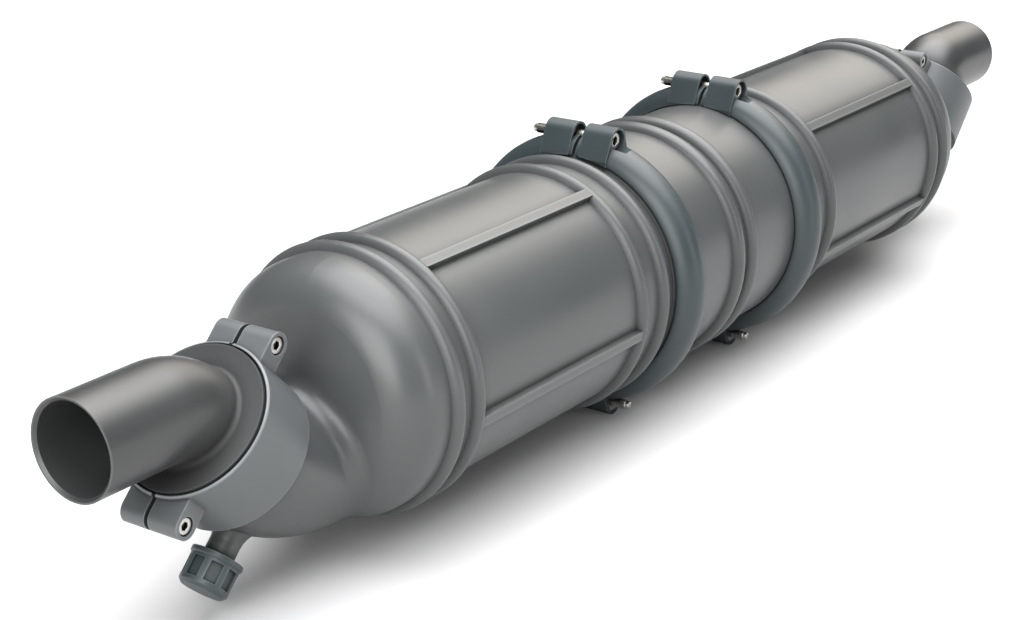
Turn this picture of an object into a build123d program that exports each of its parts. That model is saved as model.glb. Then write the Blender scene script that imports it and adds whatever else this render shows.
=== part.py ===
"""Waterlock muffler for a 51 mm exhaust hose, with two chambers clamped to a middle ring.

Frame: X runs along the body axis from the inlet end to the outlet end, Z is up, and the
origin is on the axis at the middle of the middle ring. Lengths are in millimetres.
Each outlet piece is drawn first. The inlet piece is the same moulding turned end for end,
or its mirror image where the screws enter from the same side.
"""
from build123d import *
import os
from math import cos, radians, sin, sqrt, tan

# Fits
running_gap = 0.3
seat_gap = 0.2

# Body tube
barrel_radius = 70.0
wall = 4.0
middle_half = 73.0
chamber_length = 230.5
knuckle_radius = 26.0
knuckle_turn = 75.0

# Ring ribs of a chamber, measured from the joint face
ring_rib_height = 4.5
ring_rib_width = 9.0
rib_root = 1.0
joint_rib_steps = (20.8, 43.9)
dome_rib_steps = (202.0, 219.1)

# Lengthwise ribs
long_rib_count = 5
long_rib_first = -28.5
long_rib_width = 6.0
long_rib_height = 3.8

# Middle ring
middle_swell = 1.5
middle_rib_offset = 8.4
middle_rib_width = 11.0

# Bolted joint between middle ring and chamber
flange_height = 5.5
flange_width = 4.5
flange_slope = 2.8
joint_seal_section = 2.4
joint_seal_rise = 2.0
baffle_thickness = 3.0
baffle_rim = 2.5

# Transfer tube of a baffle
tube_radius = 17.0
tube_wall = 2.5
tube_length = 62.0
tube_clear = 7.0

# Ring clamp
clamp_front_width = 8.7
clamp_back_width = 14.1
clamp_thickness = 7.4
clamp_front_height = 1.3
clamp_edge_height = 5.5
clamp_front_lip = 0.6
clamp_lip_height = 2.0
clamp_skirt_width = 3.0
clamp_skirt_height = 4.5
clamp_split = 2.2
clamp_notch_radius = 4.5
clamp_notch_depth = 1.6

# Lugs and bolts of a ring clamp
clamp_lug_shift = 3.5
clamp_lug_sink = 1.5
clamp_lug_radius = 8.0
clamp_lug_step = 1.0
clamp_lug_foot = 12.0
clamp_lug_gap = 7.2
clamp_lug_reach = 23.2
clamp_lug_wall = 1.4
clamp_core_depth = 3.5
clamp_bolt = 6.0
clamp_bolt_length = 50.0
clamp_bolt_head = 10.0
clamp_bolt_flats = 5.0
clamp_bolt_recess = 8.0
clamp_nut_flats = 10.0
clamp_nut_height = 5.0
clamp_nut_pocket = 5.2

# Screws and nuts of a collar
collar_screw = 5.0
collar_screw_length = 30.0
collar_screw_head = 8.5
collar_screw_flats = 4.0
collar_screw_bore = 9.6
collar_screw_recess = 5.8
collar_nut_flats = 8.0
collar_nut_height = 4.0
collar_nut_pocket = 4.6

# All screws and nuts
hole_slack = 0.3
thread_slack = 0.05
head_chamfer = 0.4
thread_chamfer = 0.6

# Nose of a chamber
nose_radius = 35.0
nose_wall = 6.0
nose_lift = 1.6
nose_overhang = 52.9
nose_reach = 72.7
nose_bend = 80.0
nose_blend = 10.0
neck_step = 3.9
swivel_angle = 45.0

# Swivel joint between nose and elbow
spigot_step = 16.0
groove_depth = 3.4
groove_width = 6.0
front_land = 4.0
neck_land = 7.5
elbow_proud = 1.2
swivel_seal_section = 2.8
swivel_seal_inset = 5.7

# Collar
collar_thickness = 2.5
collar_width = 38.9
collar_split = 2.4
collar_mouth = 1.1
collar_heel = 6.0
collar_edge = 0.9
lug_rise = 7.0
lug_setback = 9.0
lug_radius = 6.8
lug_reach = 19.4
lug_reach_far = 16.5

# Elbow
hose_bore = 51.0
spigot_wall = 2.4
mouth_chamfer = 1.4
spigot_length = 51.5
bend_radius = 36.0
root_blend = 2.6

# Drain
drain_setback = 63.8
drain_neck = 8.0
drain_neck_length = 20.4
drain_flare = 3.5
drain_flare_rise = 3.5
drain_flare_length = 10.0
drain_root = 1.5
drain_bore = 5.0
drain_cap_lap = 9.2
drain_cap_length = 18.6
drain_cap_radius = 13.0
drain_cap_flare = 0.8
drain_cap_chamfer = 1.8
drain_rim_width = 2.2
drain_cap_windows = 8
drain_window_width = 6.4
drain_window_depth = 1.7
drain_window_margin = 2.2
drain_seal_thickness = 2.0

# Values that follow from the ones above
inner_radius = barrel_radius - wall
middle_radius = barrel_radius + middle_swell
flange_radius = barrel_radius + flange_height
joint_seal_radius = barrel_radius + joint_seal_rise
clamp_crest = flange_radius + clamp_thickness
clamp_front_radius = middle_radius + clamp_front_height
clamp_edge_radius = middle_radius + clamp_edge_height
front_lip_radius = middle_radius + clamp_front_lip
clamp_lip_radius = middle_radius + clamp_lip_height
clamp_skirt_radius = middle_radius + clamp_skirt_height
clamp_lug_height = clamp_crest - clamp_lug_sink
tube_drop = inner_radius - tube_radius - tube_clear
chamber_end = middle_half + chamber_length
turn = radians(knuckle_turn)
crown_radius = (barrel_radius - knuckle_radius * (1 - cos(turn))) / cos(turn)
hose_radius = hose_bore / 2
spigot_inner = hose_radius - spigot_wall
lean = radians(swivel_angle)
nose_height = nose_radius - barrel_radius + nose_lift
socket_bore = nose_radius - nose_wall
neck_radius = nose_radius + neck_step
groove_radius = neck_radius - groove_depth
collar_radius = neck_radius + collar_thickness
lug_height = collar_radius + lug_rise
swivel_seal_radius = neck_radius - swivel_seal_inset
nose_corner = chamber_end + nose_overhang
swivel_x = nose_corner + nose_reach * cos(lean)
swivel_z = nose_height + nose_reach * sin(lean)
neck_face = -spigot_step - running_gap
neck_groove = neck_face - neck_land
neck_end = -collar_width + collar_heel
inner_bite = groove_radius - wall
swivel_groove_width = swivel_seal_section + 2 * seat_gap
swivel_groove_depth = swivel_seal_section + seat_gap
joint_groove_width = joint_seal_section + 2 * seat_gap
joint_groove_depth = joint_seal_section + 1.5 * seat_gap
drain_neck_end = nose_radius + drain_neck_length
drain_flare_end = nose_radius + drain_flare_rise
drain_flare_start = drain_flare_end - drain_flare_length
flare_radius = drain_neck + drain_flare
drain_foot = socket_bore - drain_root
drain_seat = drain_neck_end + seat_gap
drain_cap_start = drain_neck_end - drain_cap_lap
drain_cap_end = drain_cap_start + drain_cap_length
drain_window_length = drain_cap_length - drain_rim_width - 2 * drain_window_margin - drain_cap_chamfer
collar_land = neck_radius + running_gap
rib_clear = groove_radius + running_gap
clamp_front = middle_half - clamp_front_width
clamp_back = middle_half + clamp_back_width + clamp_skirt_width
clamp_lug_x = middle_half + clamp_lug_shift
baffle_shift = baffle_thickness + seat_gap - 2 * middle_half
flange_lean = flange_slope / (flange_radius - middle_radius)
groove_slack = running_gap * sqrt(1 + flange_lean**2)
groove_floor = flange_width + groove_slack - running_gap * flange_lean
groove_front = flange_width + groove_slack + (flange_radius - front_lip_radius) * flange_lean
groove_mouth = flange_width + groove_slack + (flange_radius - clamp_lip_radius) * flange_lean

# Plane of the outlet collar's front rim: x to the top lugs, z outwards along the swivel axis
swivel = Plane(
    origin=(swivel_x, 0, swivel_z),
    x_dir=(-sin(lean), 0, cos(lean)),
    z_dir=(cos(lean), 0, sin(lean)),
)
# Drain axis: z points down and outwards, square to the swivel axis
drain = Plane(
    origin=swivel.from_local_coords((0, 0, -drain_setback)),
    x_dir=swivel.z_dir,
    z_dir=-swivel.x_dir,
)
# Section plane of a turned piece: x is the body axis and y the radius
section = Plane(origin=(0, 0, 0), x_dir=(1, 0, 0), z_dir=(0, -1, 0))
# Section plane of what is turned about the swivel axis: x is the radius and y the axis
swivel_section = Plane(origin=swivel.origin, x_dir=swivel.x_dir, z_dir=-swivel.y_dir)
drain_section = Plane(origin=drain.origin, x_dir=drain.x_dir, z_dir=-drain.y_dir)


def axis_of(plane):
    """The line through a plane's origin along its normal."""
    return Axis(plane.origin, plane.z_dir)


def rib_profile(height, width):
    """Profile of one rounded ring rib on its foot line, with a root that joins it."""
    with BuildSketch() as profile:
        with BuildLine():
            crown = Spline((-width / 2, 0), (0, height), (width / 2, 0), tangents=[(0.35, 1), (0.35, -1)])
            Polyline(crown @ 1, (width / 2, -rib_root), (-width / 2, -rib_root), crown @ 0)
        make_face()
    return profile.sketch


def chamber_profile(start, inset):
    """Half section of the closed chamber end: barrel, knuckle and crown down to the axis."""
    with BuildSketch() as profile:
        with BuildLine():
            side = Line((start, 0), (start, barrel_radius - inset))
            top = Line(side @ 1, (chamber_end, barrel_radius - inset))
            knuckle = JernArc(top @ 1, (1, 0), knuckle_radius - inset, -knuckle_turn)
            crown = JernArc(knuckle @ 1, knuckle % 1, crown_radius - inset, knuckle_turn - 90)
            Line(crown @ 1, side @ 0)
        make_face()
    return profile.sketch


def socket_screw(size, length, head, flats):
    """Socket-head screw: the shank rises from the seat and the head stands below it."""
    with BuildPart() as screw:
        with BuildSketch():
            Circle(size / 2)
        extrude(amount=length)
        chamfer(screw.edges().sort_by(Axis.Z)[-1], thread_chamfer)
        with BuildSketch(Plane.XY.offset(-size)):
            Circle(head / 2)
        extrude(amount=size)
        chamfer(screw.edges().sort_by(Axis.Z)[0], head_chamfer)
        with BuildSketch(Plane.XY.offset(-size)):
            RegularPolygon(flats / 2, 6, major_radius=False)
        extrude(amount=size / 2, mode=Mode.SUBTRACT)
    return screw.part


def hex_nut(size, flats, height):
    """Hexagon nut that rises from its seat."""
    with BuildPart() as nut:
        with BuildSketch():
            RegularPolygon(flats / 2, 6, major_radius=False)
            Circle(size / 2 + thread_slack, mode=Mode.SUBTRACT)
        extrude(amount=height)
    return nut.part


body_axis = Axis.X
swivel_axis = axis_of(swivel)
level = Vector(1, 0, 0)
chamber_rib = rib_profile(ring_rib_height, ring_rib_width)
middle_rib = rib_profile(ring_rib_height, middle_rib_width)
clamp_bolt_shape = socket_screw(clamp_bolt, clamp_bolt_length, clamp_bolt_head, clamp_bolt_flats)
clamp_nut_shape = hex_nut(clamp_bolt, clamp_nut_flats, clamp_nut_height)
collar_screw_shape = socket_screw(collar_screw, collar_screw_length, collar_screw_head, collar_screw_flats)
collar_nut_shape = hex_nut(collar_screw, collar_nut_flats, collar_nut_height)

# Centre line of the nose: along the body, round the bend and up the swivel axis to the neck face
nose_foot = Vector(chamber_end - knuckle_radius, 0, nose_height)
nose_turn = Vector(nose_corner, 0, nose_height)
nose_setback = nose_bend * tan(lean / 2)
with BuildLine() as nose_line:
    Line(nose_foot, nose_turn - level * nose_setback)
    TangentArc(nose_turn - level * nose_setback, nose_turn + swivel.z_dir * nose_setback, tangent=level)
    Line(nose_turn + swivel.z_dir * nose_setback, swivel.from_local_coords((0, 0, neck_face)))

# Centre line of the elbow: out of the socket, round the bend and level to the mouth
elbow_foot = swivel.from_local_coords((0, 0, -front_land / 2))
elbow_setback = bend_radius * tan(lean / 2)
elbow_turn = swivel.origin + swivel.z_dir * elbow_setback
elbow_mouth = elbow_turn + level * (elbow_setback + spigot_length)
with BuildLine() as elbow_line:
    Line(elbow_foot, swivel.origin)
    TangentArc(swivel.origin, elbow_turn + level * elbow_setback, tangent=swivel.z_dir)
    Line(elbow_turn + level * elbow_setback, elbow_mouth)

# Chamber moulding: barrel, ribs, domed end, nose with its neck, and drain neck
with BuildPart() as outlet_chamber:
    with BuildSketch(section):
        add(chamber_profile(middle_half, 0))
    revolve(axis=body_axis)
    # Joint flange
    with BuildSketch(section):
        with BuildLine():
            Polyline(
                (middle_half, inner_radius),
                (middle_half, flange_radius),
                (middle_half + flange_width, flange_radius),
                (middle_half + flange_width + flange_slope, middle_radius),
                (middle_half + flange_width + flange_slope + middle_swell, barrel_radius),
                (middle_half + flange_width + flange_slope + middle_swell, inner_radius),
                close=True,
            )
        make_face()
    revolve(axis=body_axis)
    # Ring ribs
    with BuildSketch(section):
        for step in joint_rib_steps + dome_rib_steps:
            with Locations((middle_half + step, barrel_radius)):
                add(chamber_rib)
    revolve(axis=body_axis)
    # Lengthwise ribs between the inner pair of ring ribs
    with BuildSketch(Plane.YZ.offset(middle_half + joint_rib_steps[1])):
        with PolarLocations(barrel_radius, long_rib_count, start_angle=90 + long_rib_first):
            Rectangle(2 * long_rib_height, long_rib_width)
    extrude(amount=dome_rib_steps[0] - joint_rib_steps[1])
    # Nose, blended into the domed end
    with BuildSketch(Plane(origin=nose_foot, z_dir=level)):
        Circle(nose_radius)
    sweep(path=nose_line.wires()[0])
    root = (
        outlet_chamber.edges()
        .filter_by(GeomType.BSPLINE)
        .filter_by(lambda e: chamber_end - nose_blend < e.center().X < nose_corner)
    )
    fillet(root, nose_blend)
    # Grooved neck on the swivel axis
    with BuildSketch(swivel_section):
        with BuildLine():
            Polyline(
                (socket_bore, neck_face),
                (neck_radius, neck_face),
                (neck_radius, neck_groove),
                (groove_radius, neck_groove),
                (groove_radius, neck_groove - groove_width),
                (neck_radius, neck_groove - groove_width),
                (neck_radius, neck_end),
                (nose_radius, neck_end - neck_step),
                (socket_bore, neck_end - neck_step),
                close=True,
            )
        make_face()
    revolve(axis=swivel_axis)
    # Drain neck with its flared root
    with BuildSketch(drain_section):
        with BuildLine():
            flare_top = (drain_neck, drain_flare_end)
            flare = TangentArc(flare_top, (flare_radius, drain_flare_start), tangent=(0, -1))
            Polyline(
                flare @ 1,
                (flare_radius, drain_foot),
                (0, drain_foot),
                (0, drain_neck_end),
                (drain_neck, drain_neck_end),
                flare @ 0,
            )
        make_face()
    revolve(axis=axis_of(drain))
    # Inside: chamber space, nose bore, seal groove and drain bore
    with BuildSketch(section):
        add(chamber_profile(middle_half - wall, wall))
    revolve(axis=body_axis, mode=Mode.SUBTRACT)
    with BuildSketch(Plane(origin=nose_foot, z_dir=level)):
        Circle(socket_bore)
    sweep(path=nose_line.wires()[0], mode=Mode.SUBTRACT)
    with BuildSketch(swivel.offset(neck_face - swivel_groove_depth)):
        Circle(swivel_seal_radius + swivel_groove_width / 2)
        Circle(swivel_seal_radius - swivel_groove_width / 2, mode=Mode.SUBTRACT)
    extrude(amount=swivel_groove_depth, mode=Mode.SUBTRACT)
    with BuildSketch(drain):
        Circle(drain_bore)
    extrude(amount=drain_neck_end, mode=Mode.SUBTRACT)
outlet_chamber.part.label = "outlet_chamber"

with BuildPart() as inlet_chamber:
    add(outlet_chamber.part.rotate(Axis.Z, 180))
inlet_chamber.part.label = "inlet_chamber"

# Middle ring: flanged at both ends, with the pair of ribs round its waist
with BuildPart() as middle_ring:
    with BuildSketch(section):
        Rectangle(2 * middle_half, middle_radius, align=(Align.CENTER, Align.MIN))
    revolve(axis=body_axis)
    with BuildSketch(section):
        for side in (-1, 1):
            with BuildLine():
                Polyline(
                    (side * middle_half, inner_radius),
                    (side * middle_half, flange_radius),
                    (side * (middle_half - flange_width), flange_radius),
                    (side * (middle_half - flange_width - flange_slope), middle_radius),
                    (side * (middle_half - flange_width - flange_slope), inner_radius),
                    close=True,
                )
            make_face()
            with Locations((side * middle_rib_offset, middle_radius)):
                add(middle_rib)
    revolve(axis=body_axis)
    with BuildSketch(Plane.YZ):
        Circle(inner_radius)
    extrude(amount=middle_half, both=True, mode=Mode.SUBTRACT)
    for side in (-1, 1):
        # Seat of the baffle
        with BuildSketch(Plane.YZ.offset(side * (middle_half - baffle_thickness / 2))):
            Circle(inner_radius + baffle_rim)
        extrude(amount=baffle_thickness / 2, both=True, mode=Mode.SUBTRACT)
        # Groove of the joint seal
        with BuildSketch(Plane.YZ.offset(side * (middle_half - joint_groove_depth / 2))):
            Circle(joint_seal_radius + joint_groove_width / 2)
            Circle(joint_seal_radius - joint_groove_width / 2, mode=Mode.SUBTRACT)
        extrude(amount=joint_groove_depth / 2, both=True, mode=Mode.SUBTRACT)
middle_ring.part.label = "middle_ring"

# Baffle: a disc that closes the joint, with its transfer tube pointing upstream and low down
with BuildPart() as outlet_baffle:
    with BuildSketch(Plane.YZ.offset(middle_half - baffle_thickness)):
        Circle(inner_radius + baffle_rim - seat_gap)
    extrude(amount=baffle_thickness - seat_gap)
    with BuildSketch(Plane.YZ.offset(middle_half - baffle_thickness - tube_length)):
        with Locations((0, -tube_drop)):
            Circle(tube_radius)
    extrude(amount=tube_length)
    with BuildSketch(Plane.YZ.offset(middle_half - baffle_thickness - tube_length)):
        with Locations((0, -tube_drop)):
            Circle(tube_radius - tube_wall)
    extrude(amount=tube_length + baffle_thickness, mode=Mode.SUBTRACT)
    # Slanted mouth of the tube
    with BuildSketch(section):
        mouth = middle_half - baffle_thickness - tube_length
        with BuildLine():
            Polyline(
                (mouth - tube_wall, -tube_drop - tube_radius),
                (mouth + tube_radius, -tube_drop - tube_radius),
                (mouth, -tube_drop + tube_radius),
                (mouth - tube_wall, -tube_drop + tube_radius),
                close=True,
            )
        make_face()
    extrude(amount=tube_radius, both=True, mode=Mode.SUBTRACT)
outlet_baffle.part.label = "outlet_baffle"

with BuildPart() as inlet_baffle:
    with Locations((baffle_shift, 0, 0)):
        add(outlet_baffle.part)
inlet_baffle.part.label = "inlet_baffle"

# Seals of the two joints
with BuildPart() as outlet_joint_seal:
    with BuildSketch(section):
        with Locations((middle_half - seat_gap - joint_seal_section / 2, joint_seal_radius)):
            Circle(joint_seal_section / 2)
    revolve(axis=body_axis)
outlet_joint_seal.part.label = "outlet_joint_seal"

with BuildPart() as inlet_joint_seal:
    add(outlet_joint_seal.part.mirror(Plane.YZ))
inlet_joint_seal.part.label = "inlet_joint_seal"


# Half of a ring clamp: band with a skirt behind, one cored lug on top and one below
with BuildPart() as rear_clamp_right:
    with BuildSketch(section):
        with BuildLine():
            foot = Polyline(
                (clamp_front, clamp_front_radius),
                (clamp_front, inner_radius),
                (clamp_back, inner_radius),
                (clamp_back, clamp_skirt_radius),
                (middle_half + clamp_back_width, clamp_edge_radius),
            )
            ThreePointArc(foot @ 0, (clamp_lug_x, clamp_crest), foot @ 1)
        make_face()
    revolve(axis=body_axis)
    for side in (-1, 1):
        with BuildSketch(Plane.XZ.offset(clamp_lug_gap / 2)):
            with BuildLine():
                CenterArc((clamp_lug_x, side * clamp_lug_height), clamp_lug_radius, 0, 360)
                Polyline(
                    (clamp_front - clamp_lug_step, side * middle_radius),
                    (clamp_front - clamp_lug_step, side * inner_radius),
                    (clamp_lug_x + clamp_lug_foot, side * inner_radius),
                )
            make_hull()
        extrude(amount=clamp_lug_reach - clamp_lug_gap / 2)
    # Lips at the edges, and the wedge-shaped groove over the flanges
    with BuildSketch(section):
        with BuildLine():
            Polyline(
                (clamp_front - wall, 0),
                (clamp_front - wall, front_lip_radius),
                (middle_half - groove_front, front_lip_radius),
                (middle_half - groove_floor, flange_radius + running_gap),
                (middle_half + groove_floor, flange_radius + running_gap),
                (middle_half + groove_mouth, clamp_lip_radius),
                (clamp_back + wall, clamp_lip_radius),
                (clamp_back + wall, 0),
                close=True,
            )
        make_face()
    revolve(axis=body_axis, mode=Mode.SUBTRACT)
    split(bisect_by=Plane.XZ.offset(clamp_split / 2), keep=Keep.TOP)
    # Coring of the lugs: from inside both, and round the head of the upper bolt from outside
    with BuildSketch(Plane.XZ.offset(clamp_lug_gap / 2)):
        with Locations((clamp_lug_x, clamp_lug_height), (clamp_lug_x, -clamp_lug_height)):
            Circle(clamp_lug_radius - clamp_lug_wall)
    extrude(amount=clamp_core_depth, mode=Mode.SUBTRACT)
    with BuildSketch(Plane.XZ.offset(clamp_lug_reach - clamp_bolt_recess)):
        with Locations((clamp_lug_x, clamp_lug_height)):
            Circle(clamp_lug_radius - clamp_lug_wall)
    extrude(amount=2 * clamp_bolt_recess, mode=Mode.SUBTRACT)
    # Bolt holes and the pocket of the lower nut
    with BuildSketch(Plane.XZ):
        with Locations((clamp_lug_x, clamp_lug_height), (clamp_lug_x, -clamp_lug_height)):
            Circle(clamp_bolt / 2 + hole_slack)
    extrude(amount=clamp_lug_reach, mode=Mode.SUBTRACT)
    with BuildSketch(Plane.XZ.offset(clamp_lug_reach - clamp_nut_pocket)):
        with Locations((clamp_lug_x, -clamp_lug_height)):
            RegularPolygon(clamp_nut_flats / 2 + seat_gap, 6, major_radius=False)
    extrude(amount=2 * clamp_nut_pocket, mode=Mode.SUBTRACT)
    # Notch for a lever in the edge of the skirt
    with BuildSketch(Plane.XZ.offset(clamp_lip_radius - wall)):
        with Locations((clamp_back + clamp_notch_radius - clamp_notch_depth, 0)):
            Circle(clamp_notch_radius)
    extrude(amount=2 * wall + clamp_crest - clamp_lip_radius, mode=Mode.SUBTRACT)
rear_clamp_right.part.label = "rear_clamp_right"

with BuildPart() as rear_clamp_left:
    add(rear_clamp_right.part.rotate(Axis.X, 180))
rear_clamp_left.part.label = "rear_clamp_left"


# Seats of the upper bolt's head and nut; the pair below is the pair above turned over
clamp_bolt_seat = Plane(
    origin=(clamp_lug_x, clamp_bolt_recess - clamp_lug_reach, clamp_lug_height), x_dir=level, z_dir=(0, 1, 0)
)
clamp_nut_seat = Plane(
    origin=(clamp_lug_x, clamp_lug_reach - clamp_nut_pocket, clamp_lug_height), x_dir=level, z_dir=(0, 1, 0)
)

with BuildPart() as rear_clamp_bolts:
    with Locations(clamp_bolt_seat):
        add(clamp_bolt_shape)
    add(rear_clamp_bolts.part.rotate(Axis.X, 180))
rear_clamp_bolts.part.label = "rear_clamp_bolts"

with BuildPart() as rear_clamp_nuts:
    with Locations(clamp_nut_seat):
        add(clamp_nut_shape)
    add(rear_clamp_nuts.part.rotate(Axis.X, 180))
rear_clamp_nuts.part.label = "rear_clamp_nuts"

# The front clamp is the same set, shifted to the other joint
front_shift = Location((-2 * middle_half, 0, 0))
with BuildPart() as front_clamp_right:
    add(rear_clamp_right.part.moved(front_shift))
front_clamp_right.part.label = "front_clamp_right"

with BuildPart() as front_clamp_left:
    add(rear_clamp_left.part.moved(front_shift))
front_clamp_left.part.label = "front_clamp_left"

with BuildPart() as front_clamp_bolts:
    add(rear_clamp_bolts.part.moved(front_shift))
front_clamp_bolts.part.label = "front_clamp_bolts"

with BuildPart() as front_clamp_nuts:
    add(rear_clamp_nuts.part.moved(front_shift))
front_clamp_nuts.part.label = "front_clamp_nuts"

# Elbow: socket with a groove for the collar, bend, and spigot for the hose
with BuildPart() as outlet_elbow:
    with BuildSketch(swivel_section):
        with BuildLine():
            Polyline(
                (0, elbow_proud),
                (neck_radius, elbow_proud),
                (neck_radius, -front_land),
                (groove_radius, -front_land),
                (groove_radius, -front_land - groove_width),
                (neck_radius, -front_land - groove_width),
                (neck_radius, -spigot_step),
                (0, -spigot_step),
                close=True,
            )
        make_face()
    revolve(axis=swivel_axis)
    with BuildSketch(swivel.offset(-front_land / 2)):
        Circle(hose_radius)
    sweep(path=elbow_line.wires()[0])
    tube_root = outlet_elbow.edges().filter_by(GeomType.BSPLINE)
    fillet(tube_root.filter_by(lambda e: swivel.to_local_coords(e.center()).Z > elbow_proud / 2), root_blend)
    # Bore of the tube and inside of the socket
    with BuildSketch(swivel.offset(-front_land / 2)):
        Circle(spigot_inner)
    sweep(path=elbow_line.wires()[0], mode=Mode.SUBTRACT)
    with BuildSketch(swivel_section):
        with BuildLine():
            Polyline(
                (0, -spigot_step),
                (socket_bore, -spigot_step),
                (socket_bore, -front_land - socket_bore + spigot_inner),
                (spigot_inner, -front_land / 2),
                (0, -front_land / 2),
                close=True,
            )
        make_face()
    revolve(axis=swivel_axis, mode=Mode.SUBTRACT)
    mouth_edges = outlet_elbow.edges().filter_by(GeomType.CIRCLE).sort_by(Axis.X)[-2:]
    chamfer(mouth_edges.sort_by(SortBy.RADIUS)[0], mouth_chamfer)
outlet_elbow.part.label = "outlet_elbow"

with BuildPart() as inlet_elbow:
    add(outlet_elbow.part.rotate(Axis.Z, 180))
inlet_elbow.part.label = "inlet_elbow"

with BuildPart() as outlet_elbow_seal:
    with BuildSketch(swivel_section):
        with Locations((swivel_seal_radius, neck_face + seat_gap / 2 - swivel_seal_section / 2)):
            Circle(swivel_seal_section / 2)
    revolve(axis=swivel_axis)
outlet_elbow_seal.part.label = "outlet_elbow_seal"

with BuildPart() as inlet_elbow_seal:
    add(outlet_elbow_seal.part.rotate(Axis.Z, 180))
inlet_elbow_seal.part.label = "inlet_elbow_seal"

# Whole collar before it is split: band, two grip ribs inside and the lug blocks
with BuildPart() as collar:
    with BuildSketch(swivel_section):
        with BuildLine():
            Polyline(
                (inner_bite, 0),
                (collar_radius - collar_edge, 0),
                (collar_radius, -collar_edge),
                (collar_radius, -collar_width),
                (inner_bite, -collar_width),
                close=True,
            )
        make_face()
    revolve(axis=swivel_axis)
    with BuildSketch(swivel_section) as swivel_lugs:
        for side in (-1, 1):
            with Locations((side * lug_height, -lug_setback)):
                Circle(lug_radius)
            with Locations((side * (lug_height + inner_bite) / 2, -lug_setback)):
                Rectangle(lug_height - inner_bite, 2 * lug_radius)
    extrude(amount=lug_reach_far)
    extrude(swivel_lugs.sketch, amount=-lug_reach)
    with BuildSketch(swivel_section):
        with BuildLine():
            Polyline(
                (0, collar_edge),
                (neck_radius + collar_mouth, collar_edge),
                (neck_radius + collar_mouth, -front_land - running_gap),
                (rib_clear, -front_land - running_gap),
                (rib_clear, -front_land - groove_width + running_gap),
                (collar_land, -front_land - groove_width + running_gap),
                (collar_land, neck_groove - running_gap),
                (rib_clear, neck_groove - running_gap),
                (rib_clear, neck_groove - groove_width + running_gap),
                (collar_land, neck_groove - groove_width + running_gap),
                (collar_land, neck_end),
                (nose_radius + running_gap, neck_end - neck_step),
                (nose_radius + running_gap, -collar_width - collar_edge),
                (0, -collar_width - collar_edge),
                close=True,
            )
        make_face()
    revolve(axis=swivel_axis, mode=Mode.SUBTRACT)
    for side in (-1, 1):
        with BuildSketch(swivel_section):
            with Locations((side * lug_height, -lug_setback)):
                Circle(collar_screw / 2 + hole_slack)
        extrude(amount=lug_reach, both=True, mode=Mode.SUBTRACT)

collar_screw_side = Plane.XZ.offset(collar_split / 2)
collar_nut_side = Plane.XZ.offset(-collar_split / 2)

# Right half, with recesses for the screw heads
with BuildPart() as outlet_collar_right:
    add(collar.part)
    split(bisect_by=collar_screw_side, keep=Keep.TOP)
    for side in (-1, 1):
        with BuildSketch(swivel_section.offset(-lug_reach)):
            with Locations((side * lug_height, -lug_setback)):
                Circle(collar_screw_bore / 2)
        extrude(amount=collar_screw_recess, mode=Mode.SUBTRACT)
outlet_collar_right.part.label = "outlet_collar_right"

# Left half, with pockets for the nuts
with BuildPart() as outlet_collar_left:
    add(collar.part)
    split(bisect_by=collar_nut_side, keep=Keep.BOTTOM)
    for side in (-1, 1):
        with BuildSketch(swivel_section.offset(lug_reach_far)):
            with Locations((side * lug_height, -lug_setback)):
                RegularPolygon(collar_nut_flats / 2 + seat_gap, 6, major_radius=False)
        extrude(amount=-collar_nut_pocket, mode=Mode.SUBTRACT)
outlet_collar_left.part.label = "outlet_collar_left"


# Seats of the collar's screw heads and nuts, one pair over the tube and one under it
collar_screw_seats = []
collar_nut_seats = []
for side in (-1, 1):
    head_seat = (side * lug_height, -lug_setback, collar_screw_recess - lug_reach)
    nut_seat = (side * lug_height, -lug_setback, lug_reach_far - collar_nut_pocket)
    head_point = swivel_section.from_local_coords(head_seat)
    nut_point = swivel_section.from_local_coords(nut_seat)
    collar_screw_seats.append(Plane(origin=head_point, x_dir=swivel.x_dir, z_dir=swivel_section.z_dir))
    collar_nut_seats.append(Plane(origin=nut_point, x_dir=swivel.x_dir, z_dir=swivel_section.z_dir))

with BuildPart() as outlet_collar_screws:
    with Locations(*collar_screw_seats):
        add(collar_screw_shape)
outlet_collar_screws.part.label = "outlet_collar_screws"

with BuildPart() as outlet_collar_nuts:
    with Locations(*collar_nut_seats):
        add(collar_nut_shape)
outlet_collar_nuts.part.label = "outlet_collar_nuts"

# The inlet collar is the mirror image, so that its screws enter from the same side
with BuildPart() as inlet_collar_right:
    add(outlet_collar_right.part.mirror(Plane.YZ))
inlet_collar_right.part.label = "inlet_collar_right"

with BuildPart() as inlet_collar_left:
    add(outlet_collar_left.part.mirror(Plane.YZ))
inlet_collar_left.part.label = "inlet_collar_left"

with BuildPart() as inlet_collar_screws:
    add(outlet_collar_screws.part.mirror(Plane.YZ))
inlet_collar_screws.part.label = "inlet_collar_screws"

with BuildPart() as inlet_collar_nuts:
    add(outlet_collar_nuts.part.mirror(Plane.YZ))
inlet_collar_nuts.part.label = "inlet_collar_nuts"

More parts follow.
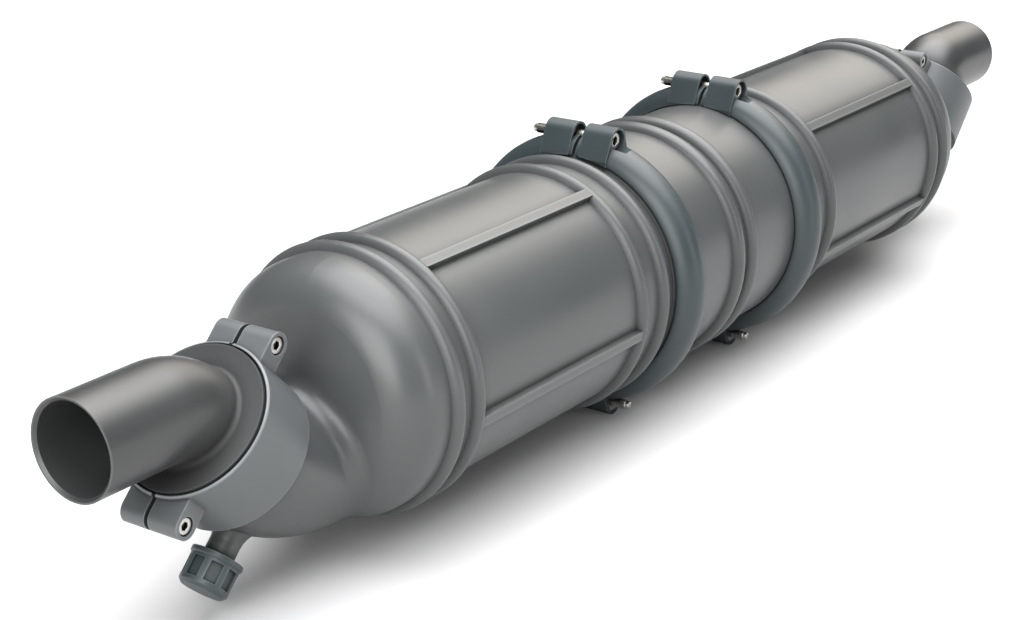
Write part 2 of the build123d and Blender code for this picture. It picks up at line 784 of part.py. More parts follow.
# Drain cap with windows between its grip ribs
with BuildPart() as outlet_drain_cap:
    with BuildSketch(drain_section):
        with BuildLine():
            Polyline(
                (0, drain_cap_start),
                (drain_cap_radius + drain_cap_flare, drain_cap_start),
                (drain_cap_radius + drain_cap_flare, drain_cap_start + drain_rim_width),
                (drain_cap_radius, drain_cap_start + drain_rim_width + drain_cap_flare),
                (drain_cap_radius, drain_cap_end - drain_cap_chamfer),
                (drain_cap_radius - drain_cap_chamfer, drain_cap_end),
                (0, drain_cap_end),
                close=True,
            )
        make_face()
    revolve(axis=axis_of(drain))
    with BuildSketch(drain.offset(drain_cap_start + drain_rim_width + drain_window_margin)):
        with PolarLocations(drain_cap_radius, drain_cap_windows):
            Rectangle(2 * drain_window_depth, drain_window_width)
    extrude(amount=drain_window_length, mode=Mode.SUBTRACT)
    with BuildSketch(drain.offset(drain_cap_start)):
        Circle(drain_neck + running_gap)
    extrude(amount=drain_seat + drain_seal_thickness + seat_gap - drain_cap_start, mode=Mode.SUBTRACT)
outlet_drain_cap.part.label = "outlet_drain_cap"

with BuildPart() as inlet_drain_cap:
    add(outlet_drain_cap.part.rotate(Axis.Z, 180))
inlet_drain_cap.part.label = "inlet_drain_cap"

with BuildPart() as outlet_drain_seal:
    with BuildSketch(drain.offset(drain_seat)):
        Circle(drain_neck)
        Circle(drain_bore, mode=Mode.SUBTRACT)
    extrude(amount=drain_seal_thickness)
outlet_drain_seal.part.label = "outlet_drain_seal"

with BuildPart() as inlet_drain_seal:
    add(outlet_drain_seal.part.rotate(Axis.Z, 180))
inlet_drain_seal.part.label = "inlet_drain_seal"

pieces = (
    inlet_chamber, middle_ring, outlet_chamber, inlet_baffle, outlet_baffle,
    inlet_joint_seal, outlet_joint_seal,
    front_clamp_left, front_clamp_right, front_clamp_bolts, front_clamp_nuts,
    rear_clamp_left, rear_clamp_right, rear_clamp_bolts, rear_clamp_nuts,
    inlet_elbow, inlet_elbow_seal, inlet_collar_left, inlet_collar_right,
    inlet_collar_screws, inlet_collar_nuts, inlet_drain_cap, inlet_drain_seal,
    outlet_elbow, outlet_elbow_seal, outlet_collar_left, outlet_collar_right,
    outlet_collar_screws, outlet_collar_nuts, outlet_drain_cap, outlet_drain_seal,
)
os.makedirs("parts", exist_ok=True)
for piece in pieces:
    export_step(piece.part, f"parts/{piece.part.label}.step")
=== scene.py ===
from math import cos, radians, sin

import bpy
from mathutils import Matrix, Vector


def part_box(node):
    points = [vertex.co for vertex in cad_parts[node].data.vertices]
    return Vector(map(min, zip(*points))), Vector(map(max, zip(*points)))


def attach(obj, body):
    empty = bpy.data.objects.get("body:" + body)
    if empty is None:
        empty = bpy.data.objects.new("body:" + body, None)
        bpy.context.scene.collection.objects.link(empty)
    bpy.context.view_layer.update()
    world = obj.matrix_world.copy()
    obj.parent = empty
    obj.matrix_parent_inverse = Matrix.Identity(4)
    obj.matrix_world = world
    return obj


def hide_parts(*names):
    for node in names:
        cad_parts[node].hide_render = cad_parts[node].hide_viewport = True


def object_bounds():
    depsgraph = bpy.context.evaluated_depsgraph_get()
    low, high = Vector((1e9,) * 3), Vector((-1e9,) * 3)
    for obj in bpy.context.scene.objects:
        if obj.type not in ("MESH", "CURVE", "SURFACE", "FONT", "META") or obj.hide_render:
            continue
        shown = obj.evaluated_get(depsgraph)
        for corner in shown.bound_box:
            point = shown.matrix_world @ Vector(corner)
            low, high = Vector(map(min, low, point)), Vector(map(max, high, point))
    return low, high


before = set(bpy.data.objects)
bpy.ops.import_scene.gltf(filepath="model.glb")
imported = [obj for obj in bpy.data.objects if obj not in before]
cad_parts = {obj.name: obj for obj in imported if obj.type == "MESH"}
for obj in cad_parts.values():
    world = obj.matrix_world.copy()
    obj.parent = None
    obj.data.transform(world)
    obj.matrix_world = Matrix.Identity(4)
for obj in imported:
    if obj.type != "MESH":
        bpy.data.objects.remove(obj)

bl_info = {
    "name": "Waterlock muffler",
    "version": (1, 0, 0),
    "blender": (4, 5, 0),
    "location": "View3D > Sidebar > Muffler",
    "description": "Finishes the clamped plastic exhaust muffler and lights it in a plain studio",
    "category": "Object",
}

MM = 0.001
CAD_BOX = [list(corner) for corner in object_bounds()]

# Settings of nodes that several materials use
BLENDED = {"data_type": "RGBA"}
MULTIPLIED = {"data_type": "RGBA", "blend_type": "MULTIPLY"}
ADDED = {"data_type": "RGBA", "blend_type": "ADD"}
HOLLOWS = {"samples": 8}
CRESTS = {"samples": 8, "inside": True, "only_local": True}
# Place of the Mix node's colour among its outputs
COLOUR_OUT = 2

# How open a spot is, from 0 deep in a corner to 1 in the open, where each painted shade of corners and
# hollows, and the painted highlight of crests, is full and where it is gone
CORNER_SHADE = {"From_Min": 0.42, "From_Max": 0.96}
EDGE_CREST = {"From_Min": 0.45, "From_Max": 0.9}
SCREW_HOLLOW = {"From_Min": 0.35, "From_Max": 0.9}
# Nearly all values of a noise lie between these
NOISE_SPAN = {"From_Min": 0.3, "From_Max": 0.7}

# Directions of the ceiling and the window, and the cosines of the angles from them at which their light
# starts and is full
CEILING_WAY = (0.1, -0.1, 0.99)
CEILING_SPAN = {"From_Min": 0.62, "From_Max": 0.98}
WINDOW_WAY = (0.754, 0.15, 0.64)
WINDOW_SPAN = {"From_Min": 0.84, "From_Max": 1.0}

# Name, place, width and height of each lamp in metres, and the setting that holds its power
LAMPS = (
    ("front_softbox", (-1.9, -0.55, 0.75), (1.6, 1.5), "front_power"),
    ("side_strip", (0.3, -1.9, 0.45), (0.25, 1.2), "side_power"),
)
LAMP_TARGET = Vector((-0.25, 0, 0))
# Width of the camera's frame in millimetres, and how near and how far it sees in metres
FRAME_WIDTH = 36
NEAREST, FARTHEST = 0.05, 100

# Shares of a thread's pitch: its depth, half its ridge's width, and how far the ridge is sunk in the core
THREAD_DEPTH = 0.61
RIDGE_HALF = 0.44
RIDGE_SUNK = 0.1
# Sides of the screws' round parts and of their key's socket, and steps in one turn of a thread
HEAD_SIDES = 48
SHANK_SIDES = 40
KEY_SIDES = 6
TURN_STEPS = 24
# Edges that turn more than the first are bevelled, and those that turn less than the second look smooth
BEVEL_ANGLE = radians(50)
SMOOTH_ANGLE = radians(35)


def linear(hex_colour):
    """Linear RGBA of an sRGB hex colour, by the curve of the sRGB standard."""
    parts = [int(hex_colour[i:i + 2], 16) / 255 for i in (0, 2, 4)]
    return [c / 12.92 if c <= 0.04045 else ((c + 0.055) / 1.055) ** 2.4 for c in parts] + [1.0]


def scaled(tint, share):
    """A colour made darker or lighter, or turned into light of a brightness."""
    return [c * share for c in tint[:3]] + [1.0]


def colour(label, note, hex_colour):
    """A colour that the user can change."""
    return bpy.props.FloatVectorProperty(
        name=label, description=note, subtype="COLOR", size=4, min=0, max=1, default=linear(hex_colour))


def length(label, note, millimetres):
    """A length in metres that the user can change."""
    return bpy.props.FloatProperty(
        name=label, description=note, unit="LENGTH", subtype="DISTANCE", precision=5,
        default=millimetres * MM)


class MufflerFinish(bpy.types.PropertyGroup):
    """Colours and grain of the moulded and metal parts."""
    chamber: colour("Chambers", "Satin grey of the chambers and the middle ring", "3F4141")
    clamp: colour("Clamps", "Blue grey of the two joint clamps", "283032")
    collar: colour("Collars", "Light grey of the swivel collars", "4A4D4E")
    elbow: colour("Elbows", "Dark grey of the hose elbows", "2F3030")
    cap: colour("Drain caps", "Dark green grey of the drain caps", "31393A")
    baffle: colour("Baffles", "Plain grey of the baffles inside", "505454")
    rubber: colour("Seals", "Black rubber of the seals", "17191A")
    steel: colour("Steel", "Bare stainless steel of screws and nuts", "C9C8C3")
    grain: length("Grain", "Width of the moulding's spark-eroded grain, as coarse as it needs to show", 0.7)
    # The edge radius also sets how wide the painted highlight along the crests of edges is
    edge: length("Edge radius", "Radius that moulded edges are seen with", 0.6)
    crease: length("Crease depth", "How far out of a corner its shade reaches", 5)


class MufflerScrews(bpy.types.PropertyGroup):
    """Sizes of the socket screws."""
    clamp_size: length("Clamp bolt", "Thread diameter of the clamp bolts", 6)
    clamp_pitch: length("Clamp bolt pitch", "Thread pitch of the clamp bolts", 1)
    clamp_length: length("Clamp bolt length", "Length under the head of the clamp bolts", 50)
    clamp_thread: length("Clamp bolt thread", "Threaded length of the clamp bolts", 30)
    clamp_head: length("Clamp bolt head", "Head diameter of the clamp bolts", 10)
    clamp_key: length("Clamp bolt key", "Key width of the clamp bolts", 5)
    collar_size: length("Collar screw", "Thread diameter of the collar screws", 5)
    collar_pitch: length("Collar screw pitch", "Thread pitch of the collar screws", 0.8)
    collar_length: length("Collar screw length", "Length under the head of the collar screws", 30)
    collar_thread: length("Collar screw thread", "Threaded length of the collar screws", 22)
    collar_head: length("Collar screw head", "Head diameter of the collar screws", 8.5)
    collar_key: length("Collar screw key", "Key width of the collar screws", 4)


class MufflerStudio(bpy.types.PropertyGroup):
    """Camera, floor and lights."""
    camera_place: bpy.props.FloatVectorProperty(
        name="Camera", description="Where the camera stands", subtype="TRANSLATION", unit="LENGTH",
        default=(-1.0702, -0.6463, 0.3992))
    camera_bearing: bpy.props.FloatProperty(
        name="Bearing", description="Bearing of the camera's view", subtype="ANGLE", default=radians(-55.09))
    camera_tilt: bpy.props.FloatProperty(
        name="Tilt", description="How far the camera looks down", subtype="ANGLE", default=radians(19.71))
    camera_lens: bpy.props.FloatProperty(
        name="Lens", description="Focal length on a 36 mm frame", unit="CAMERA", default=73.58)
    floor_size: length("Floor", "Side of the floor sheet", 24000)
    floor_colour: colour("Floor colour", "Pale floor", "B4B4B4")
    ceiling_colour: colour("Ceiling", "White of the diffuse ceiling light", "FDFDFF")
    wall_colour: colour("Walls", "Cool grey of the dim walls", "DCE2E6")
    ceiling_light: bpy.props.FloatProperty(
        name="Ceiling light", description="Brightness of the diffuse ceiling", default=7.6)
    wall_light: bpy.props.FloatProperty(
        name="Wall light", description="Brightness of the walls", default=0.12)
    backdrop_colour: colour("Backdrop", "White that the camera sees above the floor", "FFFFFF")
    window_colour: colour("Window", "Warm white of the high window beyond the far end", "FFF7EC")
    window_light: bpy.props.FloatProperty(
        name="Window light", description="Brightness of the window", default=3.2)
    front_power: bpy.props.FloatProperty(
        name="Front light", description="Power of the softbox beside the camera", unit="POWER", default=52)
    side_power: bpy.props.FloatProperty(
        name="Side light", description="Power of the strip light on the near side", unit="POWER", default=6)


def node(tree, kind, settings=None, **inputs):
    """Adds a node with its settings, and gives inputs, by their identifiers, a value or another's output."""
    made = tree.nodes.new(kind)
    for key, value in (settings or {}).items():
        setattr(made, key, value)
    for key, value in inputs.items():
        socket = next(s for s in made.inputs if s.identifier.replace(" ", "_") == key)
        if isinstance(value, bpy.types.NodeSocket):
            tree.links.new(value, socket)
        else:
            socket.default_value = value
    return made


def new_material(name):
    """A material, with its nodes, its shader and the coordinates that its patterns follow."""
    material = bpy.data.materials.new(name)
    material.use_nodes = True
    tree = material.node_tree
    place = node(tree, "ShaderNodeTexCoord").outputs["Object"]
    return material, tree, tree.nodes["Principled BSDF"], place


def moulded_plastic(name, tint, finish, roughness, rounding=1.0, shade_reach=1.0, crest_reach=1.0):
    """Satin injection-moulded polymer: soft highlights, a fine eroded grain and faint flow marks.

    rounding is the share of the edge radius that is seen, shade_reach widens the painted shade of corners
    and makes it stronger, and crest_reach widens the painted highlight along the crests of edges. The
    roughness stays over about 0.27, below which the renderer's denoiser draws a line round each glossier
    patch.
    """
    material, tree, shader, place = new_material(name)

    # Flow marks are broad, with finer cloudiness inside them
    flow_mark, darkest, lightest = 60 * MM, 0.88, 1.10
    cloud = node(tree, "ShaderNodeTexNoise", Vector=place, Scale=1 / flow_mark, Detail=3.0, Roughness=0.5)
    flow = node(tree, "ShaderNodeMix", BLENDED, Factor_Float=cloud.outputs["Fac"],
                A_Color=scaled(tint, darkest), B_Color=scaled(tint, lightest))

    # Painted shade darkens corners between ribs and wall, and a painted highlight lightens the crests of
    # edges
    painted_shade_depth, painted_highlight_gain = 0.16, 2.0
    corner = node(tree, "ShaderNodeAmbientOcclusion", HOLLOWS, Distance=finish.crease * shade_reach)
    depth = node(tree, "ShaderNodeMapRange", Value=corner.outputs["AO"], **CORNER_SHADE,
                 To_Min=painted_shade_depth / shade_reach, To_Max=1.0)
    rim = node(tree, "ShaderNodeAmbientOcclusion", CRESTS, Distance=2 * finish.edge * crest_reach)
    painted_crest_highlight = node(tree, "ShaderNodeMapRange", Value=rim.outputs["AO"], **EDGE_CREST,
                To_Min=painted_highlight_gain, To_Max=1.0)
    painted_shade_and_highlight = node(tree, "ShaderNodeMath", {"operation": "MULTIPLY"}, Value=depth.outputs["Result"],
                  Value_001=painted_crest_highlight.outputs["Result"])
    base = node(tree, "ShaderNodeMix", MULTIPLIED, Factor_Float=1.0, A_Color=flow.outputs[COLOUR_OUT],
                B_Color=painted_shade_and_highlight.outputs["Value"])
    tree.links.new(base.outputs[COLOUR_OUT], shader.inputs["Base Color"])

    # The gloss changes along the flow marks, and corners stay duller
    glossier, rougher, corner_dull = 0.04, 0.05, 0.35
    gloss = node(tree, "ShaderNodeMapRange", Value=cloud.outputs["Fac"], **NOISE_SPAN,
                 To_Min=roughness - glossier, To_Max=roughness + rougher)
    dull = node(tree, "ShaderNodeMapRange", Value=corner.outputs["AO"], **CORNER_SHADE,
                To_Min=corner_dull * shade_reach, To_Max=0.0)
    rough = node(tree, "ShaderNodeMath", {"operation": "ADD"}, Value=gloss.outputs["Result"],
                 Value_001=dull.outputs["Result"])
    tree.links.new(rough.outputs["Value"], shader.inputs["Roughness"])

    # Grain of the mould, drawn coarser than the real one so that it is just seen
    grain_depth, grain_strength = 0.08 * MM, 0.12
    pores = node(tree, "ShaderNodeTexNoise", Vector=place, Scale=1 / finish.grain, Detail=2.0, Roughness=0.6)
    bump = node(tree, "ShaderNodeBump", Height=pores.outputs["Fac"], Strength=grain_strength,
                Distance=grain_depth)
    if rounding:
        rounded = node(tree, "ShaderNodeBevel", {"samples": 6}, Radius=finish.edge * rounding)
        tree.links.new(rounded.outputs["Normal"], bump.inputs["Normal"])
    tree.links.new(bump.outputs["Normal"], shader.inputs["Normal"])
    shader.inputs["IOR"].default_value = 1.5
    return material


def turned_steel(name, tint):
    """Bare A2 stainless steel, turned: bright, its gloss broken by the fine marks of the tool."""
    material, tree, shader, place = new_material(name)
    tool_mark, stain, darkest = 0.5 * MM, 6 * MM, 0.72
    tool = node(tree, "ShaderNodeTexNoise", Vector=place, Scale=1 / tool_mark, Detail=2.0)
    soil = node(tree, "ShaderNodeTexNoise", Vector=place, Scale=1 / stain, Detail=4.0)
    turned = node(tree, "ShaderNodeMix", BLENDED, Factor_Float=soil.outputs["Fac"],
                  A_Color=scaled(tint, darkest), B_Color=list(tint))

    # Painted shade darkens the key's socket, the thread's roots and the gap round a sunk head
    shade_reach, deepest = 5 * MM, 0.03
    hollow = node(tree, "ShaderNodeAmbientOcclusion", HOLLOWS, Distance=shade_reach)
    depth = node(tree, "ShaderNodeMapRange", Value=hollow.outputs["AO"], **SCREW_HOLLOW,
                 To_Min=deepest, To_Max=1.0)
    base = node(tree, "ShaderNodeMix", MULTIPLIED, Factor_Float=1.0, A_Color=turned.outputs[COLOUR_OUT],
                B_Color=depth.outputs["Result"])
    tree.links.new(base.outputs[COLOUR_OUT], shader.inputs["Base Color"])

    smoothest, roughest = 0.29, 0.4
    gloss = node(tree, "ShaderNodeMapRange", Value=tool.outputs["Fac"], **NOISE_SPAN,
                 To_Min=smoothest, To_Max=roughest)
    tree.links.new(gloss.outputs["Result"], shader.inputs["Roughness"])
    mark_depth, mark_strength = 0.02 * MM, 0.15
    bump = node(tree, "ShaderNodeBump", Height=tool.outputs["Fac"], Strength=mark_strength,
                Distance=mark_depth)
    tree.links.new(bump.outputs["Normal"], shader.inputs["Normal"])
    shader.inputs["Metallic"].default_value = 1.0
    return material


def seal_rubber(name, tint):
    """Black EPDM seal: dull, with a talcum-like bloom in patches."""
    material, tree, shader, place = new_material(name)
    patch, powder_share, powder_haze = 8 * MM, 2.2, 0.004
    bloom = node(tree, "ShaderNodeTexNoise", Vector=place, Scale=1 / patch, Detail=4.0)
    powdered = [c * powder_share + powder_haze for c in tint[:3]] + [1.0]
    base = node(tree, "ShaderNodeMix", BLENDED, Factor_Float=bloom.outputs["Fac"], A_Color=list(tint),
                B_Color=powdered)
    tree.links.new(base.outputs[COLOUR_OUT], shader.inputs["Base Color"])
    smoothest, dullest = 0.55, 0.72
    gloss = node(tree, "ShaderNodeMapRange", Value=bloom.outputs["Fac"], **NOISE_SPAN,
                 To_Min=smoothest, To_Max=dullest)
    tree.links.new(gloss.outputs["Result"], shader.inputs["Roughness"])
    return material


def studio_paint(name, tint):
    """Matt emulsion paint on the floor sheet, with faint broad patches from the roller."""
    material, tree, shader, place = new_material(name)
    patch, darkest = 300 * MM, 0.985
    nap = node(tree, "ShaderNodeTexNoise", Vector=place, Scale=1 / patch, Detail=2.0)
    base = node(tree, "ShaderNodeMix", BLENDED, Factor_Float=nap.outputs["Fac"],
                A_Color=scaled(tint, darkest), B_Color=list(tint))
    tree.links.new(base.outputs[COLOUR_OUT], shader.inputs["Base Color"])
    shader.inputs["Roughness"].default_value = 0.9
    shader.inputs["Specular IOR Level"].default_value = 0.2
    return material


def paint(material, *names):
    """Gives CAD nodes a material in all their slots."""
    for name in names:
        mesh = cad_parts[name].data
        if not mesh.materials:
            mesh.materials.append(material)
        for i in range(len(mesh.materials)):
            mesh.materials[i] = material


def clear_selection():
    """Leaves edit mode and deselects everything."""
    if bpy.context.object and bpy.context.object.mode != "OBJECT":
        bpy.ops.object.mode_set(mode="OBJECT")
    bpy.ops.object.select_all(action="DESELECT")


class MUFFLER_OT_chambers(bpy.types.Operator):
    """Finishes the two chambers and the middle ring"""
    bl_idname = "muffler.chambers"
    bl_label = "Chambers"

    def execute(self, context):
        finish = context.scene.muffler_finish
        # Polypropylene from an eroded mould: satin, with soft wide highlights
        # Its painted crest highlights are twice as wide, and its painted corner shade reaches further and is
        # deeper
        material = moulded_plastic("polypropylene_moulded_satin_grey", finish.chamber, finish,
                                   roughness=0.33, shade_reach=1.7, crest_reach=2.0)
        paint(material, "inlet_chamber", "outlet_chamber", "middle_ring")
        return {"FINISHED"}


class MUFFLER_OT_clamps(bpy.types.Operator):
    """Finishes the four halves of the joint clamps"""
    bl_idname = "muffler.clamps"
    bl_label = "Joint clamps"

    def execute(self, context):
        finish = context.scene.muffler_finish
        # Glass-filled nylon: duller than the chambers, because fibres reach its surface
        material = moulded_plastic("glass_filled_nylon_moulded_blue_grey", finish.clamp, finish,
                                   roughness=0.40)
        paint(material, *(f"{end}_clamp_{side}" for end in ("front", "rear")
                          for side in ("left", "right")))
        return {"FINISHED"}


class MUFFLER_OT_collars(bpy.types.Operator):
    """Finishes the halves of the swivel collars"""
    bl_idname = "muffler.collars"
    bl_label = "Swivel collars"

    def execute(self, context):
        finish = context.scene.muffler_finish
        # The same nylon in a lighter grey, a little glossier than the clamps
        material = moulded_plastic("glass_filled_nylon_moulded_light_grey", finish.collar, finish,
                                   roughness=0.38)
        paint(material, *(f"{end}_collar_{side}" for end in ("inlet", "outlet")
                          for side in ("left", "right")))
        return {"FINISHED"}


class MUFFLER_OT_elbows(bpy.types.Operator):
    """Finishes the hose elbows"""
    bl_idname = "muffler.elbows"
    bl_label = "Hose elbows"

    def execute(self, context):
        finish = context.scene.muffler_finish
        # The same nylon in a dark grey, as glossy as the chambers. Its edges are seen as sharp as they are
        # modelled, and the shade at the tube's root reaches far up the tube.
        material = moulded_plastic("glass_filled_nylon_moulded_dark_grey", finish.elbow, finish,
                                   roughness=0.33, rounding=0, shade_reach=4.0)
        paint(material, "inlet_elbow", "outlet_elbow")
        return {"FINISHED"}


class MUFFLER_OT_drain_caps(bpy.types.Operator):
    """Finishes the drain caps"""
    bl_idname = "muffler.drain_caps"
    bl_label = "Drain caps"

    def execute(self, context):
        finish = context.scene.muffler_finish
        # Polypropylene in a green grey, duller than the chambers and with sharper edges
        material = moulded_plastic("polypropylene_moulded_green_grey", finish.cap, finish,
                                   roughness=0.42, rounding=0.6)
        paint(material, "inlet_drain_cap", "outlet_drain_cap")
        return {"FINISHED"}


class MUFFLER_OT_inner_parts(bpy.types.Operator):
    """Finishes the baffles and the seals, which are hidden inside"""
    bl_idname = "muffler.inner_parts"
    bl_label = "Baffles and seals"

    def execute(self, context):
        finish = context.scene.muffler_finish
        # Plain polypropylene, the dullest of the mouldings
        plain = moulded_plastic("polypropylene_moulded_plain_grey", finish.baffle, finish, roughness=0.5)
        paint(plain, "inlet_baffle", "outlet_baffle")
        black = seal_rubber("epdm_rubber_moulded_black", finish.rubber)
        paint(black, *(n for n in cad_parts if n.endswith("_seal")))
        return {"FINISHED"}


def finish_modifier(piece, kind, **settings):
    """Adds a modifier to the active piece and applies it."""
    made = piece.modifiers.new(kind.lower(), kind)
    for key, value in settings.items():
        setattr(made, key, value)
    bpy.ops.object.modifier_apply(modifier=made.name)


def upright_cylinder(radius, depth, middle, sides):
    """A cylinder round the Z axis, with its middle at a height."""
    clear_selection()
    bpy.ops.mesh.primitive_cylinder_add(vertices=sides, radius=radius, depth=depth, location=(0, 0, middle))
    return bpy.context.object


def screw_head(size, head, key):
    """A round head that hangs below the origin, with the key's socket in its underside."""
    socket = upright_cylinder(key / 2 / cos(radians(30)), size, -size, KEY_SIDES)
    made = upright_cylinder(head / 2, size, -size / 2, HEAD_SIDES)
    finish_modifier(made, "BOOLEAN", object=socket, operation="DIFFERENCE", solver="EXACT")
    finish_modifier(made, "BEVEL", width=size / 16, segments=3, limit_method="ANGLE",
                    angle_limit=BEVEL_ANGLE)
    bpy.data.objects.remove(socket)
    return made


def thread_ridge(size, pitch, root, start, thread):
    """The ridge of a thread: a triangle on edge, wound up the core in a closed coil."""
    clear_selection()
    bpy.ops.mesh.primitive_circle_add(vertices=3, radius=1, fill_type="NOTHING")
    made = bpy.context.object
    foot, half = root - RIDGE_SUNK * pitch, RIDGE_HALF * pitch
    for corner, (out, rise) in zip(made.data.vertices, ((foot, half), (foot, -half), (size / 2, 0))):
        corner.co = (out, 0, start + rise)
    turns = int(thread / pitch) - 1
    finish_modifier(made, "SCREW", screw_offset=pitch, iterations=turns, steps=TURN_STEPS,
                    render_steps=TURN_STEPS, use_normal_calculate=True, use_merge_vertices=True)
    bpy.ops.object.mode_set(mode="EDIT")
    bpy.ops.mesh.select_all(action="SELECT")
    bpy.ops.mesh.fill_holes(sides=3)
    bpy.ops.mesh.select_all(action="SELECT")
    bpy.ops.mesh.normals_make_consistent(inside=False)
    bpy.ops.object.mode_set(mode="OBJECT")
    return made


def socket_screw(size, pitch, under_head, thread, head, key):
    """A socket screw with its seat at the origin: the shank stands up and the head hangs below."""
    screw = screw_head(size, head, key)
    # Plain shank, and the thinner core that carries the thread
    root = size / 2 - THREAD_DEPTH * pitch
    start = under_head - thread
    shank = upright_cylinder(size / 2, start, start / 2, SHANK_SIDES)
    core = upright_cylinder(root, thread, under_head - thread / 2, SHANK_SIDES)
    finish_modifier(core, "BEVEL", width=size / 12, segments=2, limit_method="ANGLE",
                    angle_limit=BEVEL_ANGLE)
    ridge = thread_ridge(size, pitch, root, start, thread)
    clear_selection()
    for piece in (shank, core, ridge, screw):
        piece.select_set(True)
    bpy.context.view_layer.objects.active = screw
    bpy.ops.object.join()
    bpy.ops.object.transform_apply(location=True, rotation=True, scale=True)
    bpy.ops.object.shade_smooth_by_angle(angle=SMOOTH_ANGLE)
    return screw


def set_screws(name, body, master, places):
    """Copies a screw to its places, each given as seat and which way the shank points along Y."""
    copies = []
    for seat, way in places:
        copy = master.copy()
        copy.data = master.data.copy()
        bpy.context.collection.objects.link(copy)
        # The shank turns from +Z to +Y, or to -Y
        copy.matrix_world = Matrix.Translation(seat) @ Matrix.Rotation(radians(-90 * way), 4, "X")
        copies.append(copy)
    clear_selection()
    for copy in copies:
        copy.select_set(True)
    bpy.context.view_layer.objects.active = copies[0]
    bpy.ops.object.join()
    bpy.ops.object.transform_apply(location=True, rotation=True, scale=True)
    made = bpy.context.object
    made.name = name
    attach(made, body)
    return made


class MUFFLER_OT_fasteners(bpy.types.Operator):
    """Models the socket screws with their threads, and finishes the nuts"""
    bl_idname = "muffler.fasteners"
    bl_label = "Screws and nuts"

    def execute(self, context):
        sizes = context.scene.muffler_screws
        finish = context.scene.muffler_finish
        steel = turned_steel("stainless_steel_turned_bare", finish.steel)
        paint(steel, *(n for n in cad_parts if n.endswith("_nuts")))
        bolt = socket_screw(sizes.clamp_size, sizes.clamp_pitch, sizes.clamp_length, sizes.clamp_thread,
                            sizes.clamp_head, sizes.clamp_key)
        screw = socket_screw(sizes.collar_size, sizes.collar_pitch, sizes.collar_length, sizes.collar_thread,
                             sizes.collar_head, sizes.collar_key)
        made = []
        # A clamp's bolts go through its top lugs and its bottom lugs, from opposite sides
        for end in ("front", "rear"):
            low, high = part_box(f"{end}_clamp_bolts")
            middle = (low.x + high.x) / 2
            rise = high.z - sizes.clamp_head / 2
            seat = high.y - sizes.clamp_length
            places = [((middle, way * seat, way * rise), way) for way in (1, -1)]
            pair = set_screws(f"{end}_clamp_socket_bolts", "core", bolt, places)
            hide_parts(f"{end}_clamp_bolts")
            made.append(pair)
        # A collar's screws both go in from the near side, and its upper one lies further towards the middle
        for end, inward in (("inlet", 1), ("outlet", -1)):
            low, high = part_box(f"{end}_collar_screws")
            inset = sizes.collar_head / 2
            middle, rise = (low.x + high.x) / 2, (low.z + high.z) / 2
            out, up = high.x - inset - middle, high.z - inset - rise
            seat = high.y - sizes.collar_length
            places = [((middle + side * out, seat, rise + side * inward * up), 1) for side in (1, -1)]
            pair = set_screws(f"{end}_collar_socket_screws", f"{end}_body", screw, places)
            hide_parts(f"{end}_collar_screws")
            made.append(pair)
        for piece in made:
            piece.data.materials.clear()
            piece.data.materials.append(steel)
        bpy.data.objects.remove(bolt)
        bpy.data.objects.remove(screw)
        return {"FINISHED"}


def lay_floor(studio):
    """Lays the floor sheet under the muffler's lowest point."""
    level = CAD_BOX[0][2]
    clear_selection()
    bpy.ops.mesh.primitive_plane_add(size=studio.floor_size, location=(0, 0, level))
    floor = bpy.context.object
    floor.name = "floor"
    bpy.ops.object.transform_apply(location=True, rotation=True, scale=True)
    floor.data.materials.append(studio_paint("emulsion_paint_rolled_pale", studio.floor_colour))


def place_camera(studio):
    """Places the camera, turned to its bearing and looking down by its tilt."""
    bearing, tilt = studio.camera_bearing, studio.camera_tilt
    right = Vector((cos(bearing), sin(bearing), 0))
    back = Vector((cos(tilt) * sin(bearing), -cos(tilt) * cos(bearing), sin(tilt)))
    up = back.cross(right)
    turn = Matrix((right, up, back)).transposed()
    bpy.ops.object.camera_add(location=studio.camera_place)
    camera = bpy.context.object
    camera.name = "camera"
    camera.rotation_euler = turn.to_euler()
    camera.data.sensor_width = FRAME_WIDTH
    camera.data.lens = studio.camera_lens
    camera.data.clip_start = NEAREST
    camera.data.clip_end = FARTHEST
    bpy.context.scene.camera = camera


def hang_lamps(studio):
    """Hangs a large softbox behind the camera and to its left, and a strip light on the near side."""
    for name, place, size, power in LAMPS:
        bpy.ops.object.light_add(type="AREA", location=place)
        lamp = bpy.context.object
        lamp.name = name
        lamp.data.shape = "RECTANGLE"
        lamp.data.size, lamp.data.size_y = size
        lamp.data.energy = getattr(studio, power)
        lamp.rotation_euler = (Vector(place) - LAMP_TARGET).to_track_quat("Z", "Y").to_euler()


def light_patch(tree, way, middle, span):
    """How much of a soft-edged light round a direction of the room is seen, from 0 to 1."""
    nearness = node(tree, "ShaderNodeVectorMath", {"operation": "DOT_PRODUCT"}, Vector=way,
                    Vector_001=middle)
    patch = node(tree, "ShaderNodeMapRange", {"interpolation_type": "SMOOTHERSTEP"},
                 Value=nearness.outputs["Value"], **span, To_Min=0.0, To_Max=1.0)
    return patch.outputs["Result"]


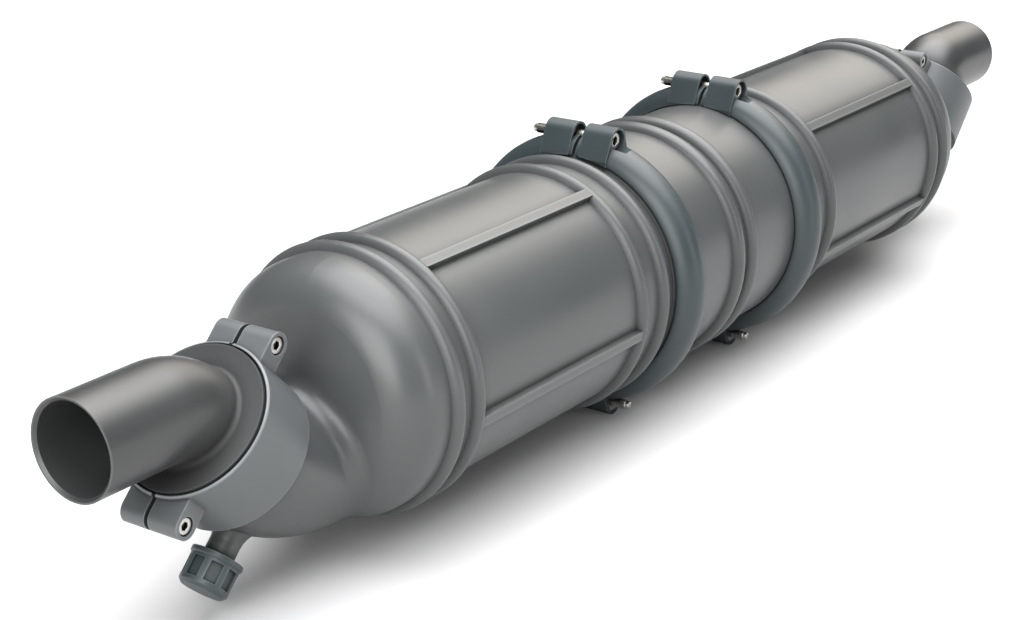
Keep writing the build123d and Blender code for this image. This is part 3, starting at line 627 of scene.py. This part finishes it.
def light_room(studio):
    """Makes the room: a diffuse ceiling over dim walls, and a high window beyond the far end."""
    world = bpy.data.worlds.new("studio_room")
    bpy.context.scene.world = world
    world.use_nodes = True
    tree = world.node_tree
    way = node(tree, "ShaderNodeTexCoord").outputs["Generated"]
    room = node(tree, "ShaderNodeMix", BLENDED,
                Factor_Float=light_patch(tree, way, CEILING_WAY, CEILING_SPAN),
                A_Color=scaled(studio.wall_colour, studio.wall_light),
                B_Color=scaled(studio.ceiling_colour, studio.ceiling_light))
    lit = node(tree, "ShaderNodeMix", ADDED,
               Factor_Float=light_patch(tree, way, WINDOW_WAY, WINDOW_SPAN),
               A_Color=room.outputs[COLOUR_OUT],
               B_Color=scaled(studio.window_colour, studio.window_light))
    # The camera sees a white backdrop over the floor's edge in place of the dim walls
    ray = node(tree, "ShaderNodeLightPath")
    seen = node(tree, "ShaderNodeMix", BLENDED, Factor_Float=ray.outputs["Is Camera Ray"],
                A_Color=lit.outputs[COLOUR_OUT], B_Color=list(studio.backdrop_colour))
    tree.links.new(seen.outputs[COLOUR_OUT], tree.nodes["Background"].inputs["Color"])


class MUFFLER_OT_stage(bpy.types.Operator):
    """Lays the floor, places the camera and hangs the lights"""
    bl_idname = "muffler.stage"
    bl_label = "Studio"

    def execute(self, context):
        studio = context.scene.muffler_studio
        lay_floor(studio)
        place_camera(studio)
        hang_lamps(studio)
        light_room(studio)
        context.scene.view_settings.view_transform = "Standard"
        return {"FINISHED"}


class MUFFLER_PT_panel(bpy.types.Panel):
    """Lists the muffler's sizes, colours and steps"""
    bl_idname = "MUFFLER_PT_panel"
    bl_label = "Waterlock muffler"
    bl_space_type = "VIEW_3D"
    bl_region_type = "UI"
    bl_category = "Muffler"

    def draw(self, context):
        for name in SETTINGS:
            box = self.layout.box()
            settings = getattr(context.scene, name)
            for key in settings.__annotations__:
                box.prop(settings, key)
        for step in STEPS:
            self.layout.operator(step.bl_idname)


SETTINGS = {
    "muffler_finish": MufflerFinish,
    "muffler_screws": MufflerScrews,
    "muffler_studio": MufflerStudio,
}
STEPS = (
    MUFFLER_OT_chambers,
    MUFFLER_OT_clamps,
    MUFFLER_OT_collars,
    MUFFLER_OT_elbows,
    MUFFLER_OT_drain_caps,
    MUFFLER_OT_inner_parts,
    MUFFLER_OT_fasteners,
    MUFFLER_OT_stage,
)


def register():
    """Makes the settings, the steps and the panel known to Blender."""
    for kind in (*SETTINGS.values(), *STEPS, MUFFLER_PT_panel):
        bpy.utils.register_class(kind)
    for name, kind in SETTINGS.items():
        setattr(bpy.types.Scene, name, bpy.props.PointerProperty(type=kind))


def unregister():
    """Takes the settings, the steps and the panel away again."""
    for name in SETTINGS:
        delattr(bpy.types.Scene, name)
    for kind in (MUFFLER_PT_panel, *reversed(STEPS), *SETTINGS.values()):
        bpy.utils.unregister_class(kind)


def main():
    """Runs every step in order."""
    register()
    for step in STEPS:
        group, name = step.bl_idname.split(".")
        getattr(getattr(bpy.ops, group), name)()


if __name__ == "__main__":
    main()
